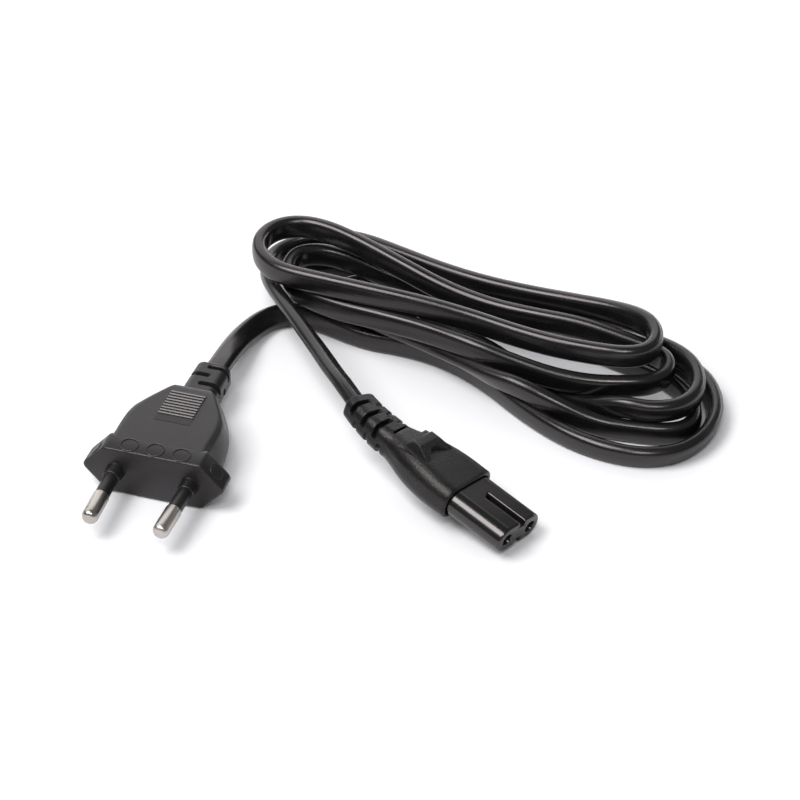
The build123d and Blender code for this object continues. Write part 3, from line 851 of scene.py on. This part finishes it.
noseAxis = turnedVector(Vector((1, 0, 0)), connectorLook)
noseAcross = turnedVector(Vector((0, 1, 0)), connectorLook)
noseUp = noseAxis.cross(noseAcross)
noseTip = Vector(connectorLook["tip"])


# a place behind the nose's tip, across it and up; past the neck's root it follows the bend
def connectorPoint(behind, across, up):
    front = connectorLook["neckFront"]
    if behind <= front:
        return (noseTip - noseAxis * behind + noseAcross * across + noseUp * up) * mm
    swing = connectorLook["neckLength"] / radians(connectorLook["neckBend"])
    turn = (behind - front) / swing
    root = noseTip - noseAxis * front
    middle = root - noseAxis * (swing * sin(turn)) + noseAcross * (swing * (1 - cos(turn)))
    sideways = noseAcross * cos(turn) + noseAxis * sin(turn)
    return (middle + sideways * across + noseUp * up) * mm


def connectorRing(ring, behind):
    return [connectorPoint(behind, p.x, p.y) for p in ring]


# least of some heights, rounded where two of them meet
def softLeast(values, soft):
    low = values[0]
    for v in values[1:]:
        h = max(soft - abs(low - v), 0.0) / soft
        low = min(low, v) - h * h * soft / 4
    return low


# height of the thumb ramp: sloped front with a scooped arch, flat crest, steep back and sides
def rampHeight(ramp, behind, across, floor):
    t = (behind - ramp["front"]) / (ramp["crest"] - ramp["front"])
    start = tableAt(connectorLook["body"], ramp["front"])[1] / 2
    slope = start + (ramp["top"] - start) * t
    back = ramp["top"] - (behind - ramp["back"]) * ramp["backFall"]
    half = ramp["foot"] + (ramp["half"] - ramp["foot"]) * clamp(t)
    wall = ramp["top"] + (half - ramp["sideInset"] - abs(across)) * ramp["sideFall"]
    high = softLeast([slope, ramp["top"], back, wall], ramp["soft"])
    inside = within(along(ramp["window"], t) - abs(across), ramp["windowEdge"])
    inside *= within(ramp["window"][-1][0] - t, ramp["windowEnd"])
    return max(floor, high - inside * max(0.0, slope - floor - ramp["sill"]))


# thumb ramp as a field of heights, its border sunk in the body
def rampShell(ramp):
    places = steps(ramp["front"] - ramp["before"], ramp["rear"] + ramp["behind"], ramp["step"])
    sides = steps(-ramp["reach"], ramp["reach"], ramp["step"])
    points, faces, uvs = [], [], []
    for behind in places:
        floor = tableAt(connectorLook["body"], behind)[1] / 2 - ramp["sunk"]
        for across in sides:
            points.append(connectorPoint(behind, across, rampHeight(ramp, behind, across, floor)))
    wide = len(sides)
    for k in range(len(places) - 1):
        for a in range(k * wide, k * wide + wide - 1):
            faces.append((a, a + 1, a + 1 + wide, a + wide))
            uvs.append([(0, 0), (1, 0), (1, 1), (0, 1)])
    return points, faces, uvs


def makeConnector(look, mat):
    count, front, body = look["around"], look["neckFront"], look["body"]
    rings = [connectorRing(boxOutline(*row[1:], count)[0], row[0]) for row in look["lip"]]
    places = steps(body[0][0], front, look["bodyStep"])[:-1] + steps(front, body[-1][0], look["neckStep"])
    for at in places:
        section = tableAt(body, at)
        slots = look["slots"] if at > look["slotsFrom"] else []
        rings.append(connectorRing(neckRing(section, count, at, slots, look["slotSunk"]), at))
    rings += [connectorRing(ring, at) for at, ring in neckEnds(body[-1][1:], look["neckEnd"], count)]
    shell = makePiece("connectorShell", [skin(rings, False, True)], mat, look["sharp"])
    return shell, makePiece("thumbRamp", [rampShell(look["ramp"])], mat, look["ramp"]["sharp"])


connectorShell, thumbRamp = makeConnector(connectorLook, finish["connectorPvc"])
print("connector shell", len(connectorShell.data.polygons), "faces")


# glossy nose: two joined tubes with a groove above and below, two contact holes
noseLook = {
    "width": 15.3, "height": 6.7, "around": 280, "front": 0.55, "frontSteps": 6, "sharp": 35.0,
    # rings behind the tip: single ones, and even stretches from, to and step
    "afterFront": 0.85, "rear": [18.0, 24.0],
    "stretches": [(1.35, 9.6, 0.8), (9.8, 12.8, 0.1), (13.0, 15.2, 0.4), (15.3, 16.0, 0.1)],
    # groove: its edges' bevels are width and depth, on the near and the far side
    "groove": {"half": 0.95, "aside": 0.3, "deep": 1.5, "end": 11.1, "skew": 0.5,
               "near": (0.40, 0.11), "far": (0.34, 0.34), "wallEdge": 0.2, "endEdge": 0.3,
               "flatFrom": 0.6, "flatOver": 0.5},
    # holes: behind the tip and radius
    "apart": 8.6, "holeAround": 48,
    "hole": [(0.0, 1.72), (0.06, 1.59), (0.22, 1.5), (3.2, 1.5), (3.22, 1.88), (12.0, 1.88)],
}


def noseRing(look, behind, inset=0.0):
    groove, halfHeight = look["groove"], look["height"] / 2
    ring = boxOutline(look["width"] - 2 * inset, look["height"] - 2 * inset,
                      halfHeight - inset - 0.02, look["around"])[0]
    shaped = []
    for p in ring:
        off = abs(p.x - groove["aside"])
        wide, low = groove["near"] if p.x < groove["aside"] else groove["far"]
        rim = low * clamp((groove["half"] + wide - off) / wide)
        end = groove["end"] + groove["skew"] * p.x
        deep = max(groove["deep"] * within(groove["half"] - off, groove["wallEdge"]), rim)
        deep *= within(end - behind, groove["endEdge"])
        flat = ease((abs(p.y) - halfHeight * groove["flatFrom"]) / groove["flatOver"])
        shaped.append(connectorPoint(behind, p.x, p.y - copysign(deep * flat, p.y)))
    return shaped


def makeNose(look, mat):
    edge, count, around = look["front"], look["around"], look["holeAround"]
    rings = []
    for k in range(look["frontSteps"] + 1):
        turn = pi / 2 * k / look["frontSteps"]
        rings.append(noseRing(look, edge * (1 - cos(turn)), edge * (1 - sin(turn))))
    places = [look["afterFront"]] + [at for span in look["stretches"] for at in steps(*span)] + look["rear"]
    rings += [noseRing(look, at) for at in places]
    points, faces, _ = skin(rings, False, True)
    bm = bmesh.new()
    verts = [bm.verts.new(p) for p in points]
    for face in faces:
        bm.faces.new([verts[i] for i in face])

    def rimEdges(loop):
        return [bm.edges.get((a, b)) for a, b in zip(loop, loop[1:] + loop[:1])]

    rim = rimEdges(verts[:count])
    turns = [2 * pi * k / around for k in range(around)]
    for side in (-1, 1):
        middle = side * look["apart"] / 2
        loops = [[bm.verts.new(connectorPoint(behind, middle + radius * cos(turn), radius * sin(turn)))
                  for turn in turns] for behind, radius in look["hole"]]
        for a, b in zip(loops, loops[1:]):
            for k in range(around):
                after = (k + 1) % around
                bm.faces.new([a[k], a[after], b[after], b[k]])
        rim += rimEdges(loops[0])
    bmesh.ops.triangle_fill(bm, use_beauty=True, use_dissolve=False, edges=rim)
    bmesh.ops.recalc_face_normals(bm, faces=bm.faces)
    mesh = bpy.data.meshes.new("noseInsert")
    bm.to_mesh(mesh)
    bm.free()
    return dressMesh("noseInsert", mesh, mat, look["sharp"])


noseInsert = makeNose(noseLook, finish["insertGloss"])
print("nose", len(noseInsert.data.polygons), "faces")


# finishes of the CAD pieces that stay
keptFinish = {"contact": "contactBrass", "strands": "bareCopper",
              "core_left": "corePlasticBrown", "core_right": "corePlasticBlue"}
for name, node in nodes.items():
    for part, finishName in keptFinish.items():
        if part in name:
            node.data.materials.clear()
            node.data.materials.append(finish[finishName])


# stage: pale floor, soft boxes and an even room
stageLook = {"size": 6.0, "colour": (0.875, 0.868, 0.895, 1), "room": 0.15, "aim": (0.01, 0.03, 0.0),
             # light added to the floor for the camera alone; painted shade takes it away where the object is
             # within reach
             "lift": 0.22, "paintedShadeReach": 0.03, "paintedShadeSamples": 4}
lampLook = {
    "keyBox": {"place": (-0.42, -0.36, 0.98), "size": (0.66, 0.66), "power": 10.4},
    "backBox": {"place": (-0.55, 0.80, 0.66), "size": (1.5, 0.8), "power": 4.2},
    "frontBox": {"place": (0.21, -0.62, 0.90), "size": (0.30, 0.22), "power": 2.8},
    "sweepCard": {"place": (0.10, 1.30, 0.17), "size": (2.6, 0.30), "power": 6.0},
}
white = (1, 1, 1, 1)


def makeFloor(look):
    mat, tree, out = newMaterial("paleFloor")
    paint = addNode(tree, "BsdfDiffuse", {"Color": look["colour"]})
    ray = addNode(tree, "LightPath")
    # painted shade: ambient occlusion dims the floor's glow in crevices and under the object
    near = addNode(tree, "AmbientOcclusion", {"Distance": look["paintedShadeReach"]}, samples=look["paintedShadeSamples"])
    clear = addNode(tree, "Math", None,
                    {0: ray.outputs["Is Camera Ray"], 1: near.outputs["AO"]}, operation="MULTIPLY")
    lift = addNode(tree, "Math", {1: look["lift"]}, {0: clear.outputs[0]}, operation="MULTIPLY")
    glow = addNode(tree, "Emission", {"Color": white}, {"Strength": lift.outputs[0]})
    both = addNode(tree, "AddShader", None, {0: paint.outputs["BSDF"], 1: glow.outputs["Emission"]})
    joinInputs(tree, out, {"Surface": both.outputs["Shader"]})
    h = look["size"] / 2
    mesh = bpy.data.meshes.new("floor")
    mesh.from_pydata([(-h, -h, 0), (h, -h, 0), (h, h, 0), (-h, h, 0)], [], [(0, 1, 2, 3)])
    mesh.materials.append(mat)
    floor = addObject("floor", mesh)


def makeLamp(name, look):
    data = bpy.data.lights.new(name, "AREA")
    data.shape = "RECTANGLE"
    data.size, data.size_y = look["size"]
    data.energy = look["power"]
    lamp = addObject(name, data)
    lamp.visible_camera = False
    aimAt(lamp, look["place"], stageLook["aim"])


# the room is white to the camera and dim to everything else
def makeRoom(look):
    world = bpy.data.worlds.new("studio")
    scene.world = world
    world.use_nodes = True
    tree = world.node_tree
    ray = addNode(tree, "LightPath")
    strength = addNode(tree, "MapRange", {"To Min": look["room"]}, {"Value": ray.outputs["Is Camera Ray"]})
    sky = tree.nodes["Background"]
    sky.inputs["Color"].default_value = white
    joinInputs(tree, sky, {"Strength": strength.outputs["Result"]})


makeFloor(stageLook)
for lampName, look in lampLook.items():
    makeLamp(lampName, look)
makeRoom(stageLook)
scene.view_settings.view_transform = "Standard"
print("stage set")


# each piece, the finish it is listed with, and the CAD parts it stands for: the piece goes under the root
# body and those parts are hidden
handOver = [
    (cord, "cable_black", ["plug_lead", "cord_hank", "connector_lead"]),
    (plugShell, "moulded_black", ["plug_body"]),
    (gripRibs[0], "moulded_black", []), (gripRibs[1], "moulded_black", []),
    (pins[0], "nickel", ["plug_pin_left"]), (pins[1], "nickel", ["plug_pin_right"]),
    (sleeves[0], "sleeve_black", ["plug_pin_sleeve_left"]),
    (sleeves[1], "sleeve_black", ["plug_pin_sleeve_right"]),
    (pinBridge, "sleeve_black", ["plug_bridge"]),
    (connectorShell, "moulded_black", ["connector_body"]), (thumbRamp, "moulded_black", []),
    (noseInsert, "insert_black", ["connector_insert"]),
]
for piece, slotName, stood in handOver:
    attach(piece, "root")
    if stood:
        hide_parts(*stood)
connectorPieces = [connectorShell, thumbRamp, noseInsert]
connectorPieces += [nodes[n] for n in nodes
                    if n.startswith(("connector_contact", "connector_core", "connector_strands"))]
